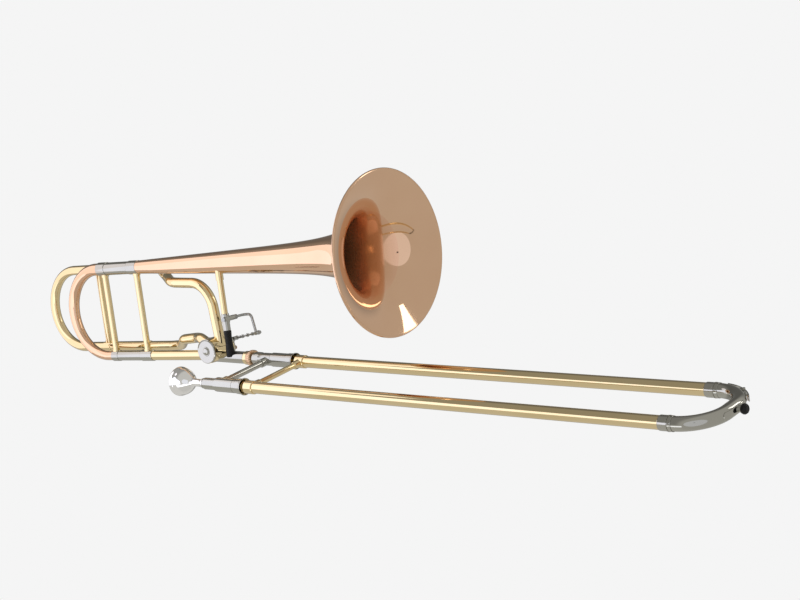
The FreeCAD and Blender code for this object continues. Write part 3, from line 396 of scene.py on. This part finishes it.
def stage_mesh(name, vertices, faces, colour, strength):
    """A glowing surface that belongs to the studio."""
    material = bpy.data.materials.new(name)
    material.use_nodes = True
    tree = material.node_tree
    tree.nodes.clear()
    output = tree.nodes.new("ShaderNodeOutputMaterial")
    emission = tree.nodes.new("ShaderNodeEmission")
    emission.inputs["Color"].default_value = (*colour, 1)
    emission.inputs["Strength"].default_value = strength
    tree.links.new(emission.outputs["Emission"], output.inputs["Surface"])
    mesh = bpy.data.meshes.new(name)
    mesh.from_pydata(vertices, [], faces)
    mesh.materials.append(material)
    surface = bpy.data.objects.new(name, mesh)
    bpy.context.scene.collection.objects.link(surface)
    return surface


def card_mesh(name, vertices, faces, colour, strength):
    """A glowing surface that only reflections show."""
    card = stage_mesh(name, vertices, faces, colour, strength)
    card.visible_camera = False
    card.visible_shadow = False


def light_card(name, stations, colour, strength):
    """A soft upright light card along its line of stations."""
    vertices = []
    for x, y, low, high in stations:
        vertices += [(x, y, low), (x, y, high)]
    faces = [(2 * n, 2 * n + 2, 2 * n + 3, 2 * n + 1) for n in range(len(stations) - 1)]
    card_mesh(name, vertices, faces, colour, strength)


def round_card(name, centre, half_width, half_height, colour, strength):
    """An upright oval card that faces the instrument."""
    away = Vector((centre.x, centre.y, 0)).normalized()
    across = away.cross(Vector((0, 0, 1)))
    vertices = []
    for corner in range(ROUND_CORNERS):
        angle = 2 * math.pi * corner / ROUND_CORNERS
        point = centre + across * half_width * math.cos(angle)
        vertices.append((point.x, point.y, point.z + half_height * math.sin(angle)))
    card_mesh(name, vertices, [tuple(range(ROUND_CORNERS))], colour, strength)


def studio_cards():
    """Tall soft cards on the camera's left, a strip on its right, and a round reflector behind its lens."""
    light_card("stem_card", STEM_CARD, PINKISH, STEM_CARD_LIGHT)
    light_card("slide_card", SLIDE_CARD, BLUISH, SLIDE_CARD_LIGHT)
    light_card("low_card", LOW_CARD, COOL, LOW_CARD_LIGHT)
    light_card("right_strip", RIGHT_STRIP, NEUTRAL, STRIP_LIGHT)
    round_card("lens_card", LENS_CARD_PLACE, LENS_CARD_WIDE, LENS_CARD_TALL, COOL, LENS_CARD_LIGHT)
    round_card("lens", CAMERA_PLACE, LENS_HALF, LENS_HALF, NEUTRAL, 0.0)


def studio_world():
    """A plain pale studio. Polished metal sees it dim above and behind, and paler below."""
    world = bpy.data.worlds.new("studio")
    bpy.context.scene.world = world
    world.use_nodes = True
    tree = world.node_tree
    tree.nodes.clear()

    def node(kind, **settings):
        made = tree.nodes.new(kind)
        for key, value in settings.items():
            setattr(made, key, value)
        return made

    def smooth_range(source, start, end, low, high):
        scale = node("ShaderNodeMapRange", interpolation_type="SMOOTHSTEP")
        for socket, amount in (("From Min", start), ("From Max", end), ("To Min", low), ("To Max", high)):
            scale.inputs[socket].default_value = amount
        tree.links.new(source, scale.inputs["Value"])
        return scale.outputs["Result"]

    direction = node("ShaderNodeTexCoord").outputs["Generated"]
    split = node("ShaderNodeSeparateXYZ")
    tree.links.new(direction, split.inputs["Vector"])
    height = smooth_range(split.outputs["Z"], -0.08, 0.16, BELOW_LIGHT, ABOVE_LIGHT)
    sideways = node("ShaderNodeMix", data_type="FLOAT")
    tree.links.new(smooth_range(split.outputs["X"], -0.25, 0.05, 0.0, 1.0), sideways.inputs["Factor"])
    tree.links.new(height, sideways.inputs["A"])
    sideways.inputs["B"].default_value = FRONT_LIGHT
    behind = node("ShaderNodeVectorMath", operation="DOT_PRODUCT")
    behind.inputs[1].default_value = BEHIND
    tree.links.new(direction, behind.inputs[0])
    shade = smooth_range(behind.outputs["Value"], 0.55, 0.85, 1.0, BEHIND_SHADE)
    level = node("ShaderNodeMath", operation="MULTIPLY")
    tree.links.new(sideways.outputs["Result"], level.inputs[0])
    tree.links.new(shade, level.inputs[1])
    studio = node("ShaderNodeBackground")
    studio.inputs["Color"].default_value = (*WARM, 1)
    tree.links.new(level.outputs["Value"], studio.inputs["Strength"])
    plain = node("ShaderNodeBackground")
    plain.inputs["Color"].default_value = (*PALE, 1)
    choose = node("ShaderNodeMixShader")
    tree.links.new(node("ShaderNodeLightPath").outputs["Is Camera Ray"], choose.inputs["Fac"])
    tree.links.new(studio.outputs["Background"], choose.inputs[1])
    tree.links.new(plain.outputs["Background"], choose.inputs[2])
    output = node("ShaderNodeOutputWorld")
    tree.links.new(choose.outputs["Shader"], output.inputs["Surface"])


def camera():
    """The main view's camera, from its place and its three angles."""
    azimuth = math.radians(CAMERA_AZIMUTH)
    elevation = math.radians(CAMERA_ELEVATION)
    roll = math.radians(CAMERA_ROLL)
    back = Vector((math.sin(azimuth) * math.cos(elevation), -math.cos(azimuth) * math.cos(elevation),
                   math.sin(elevation)))
    level = Vector((math.cos(azimuth), math.sin(azimuth), 0))
    above = back.cross(level)
    right = level * math.cos(roll) + above * math.sin(roll)
    up = above * math.cos(roll) - level * math.sin(roll)
    data = bpy.data.cameras.new("camera")
    data.sensor_width = SENSOR_WIDTH
    data.lens = FOCAL_LENGTH
    data.clip_end = VIEW_END
    view = bpy.data.objects.new("camera", data)
    bpy.context.scene.collection.objects.link(view)
    turn = Matrix((right, up, back)).transposed()
    view.matrix_world = Matrix.Translation(CAMERA_PLACE) @ turn.to_4x4()
    bpy.context.scene.camera = view


finish_nodes()
bell_sheet()
mouthpiece()
floor()
studio_world()
studio_cards()
camera()
bpy.context.scene.view_settings.view_transform = "Standard"

bpy.context.view_layer.update()
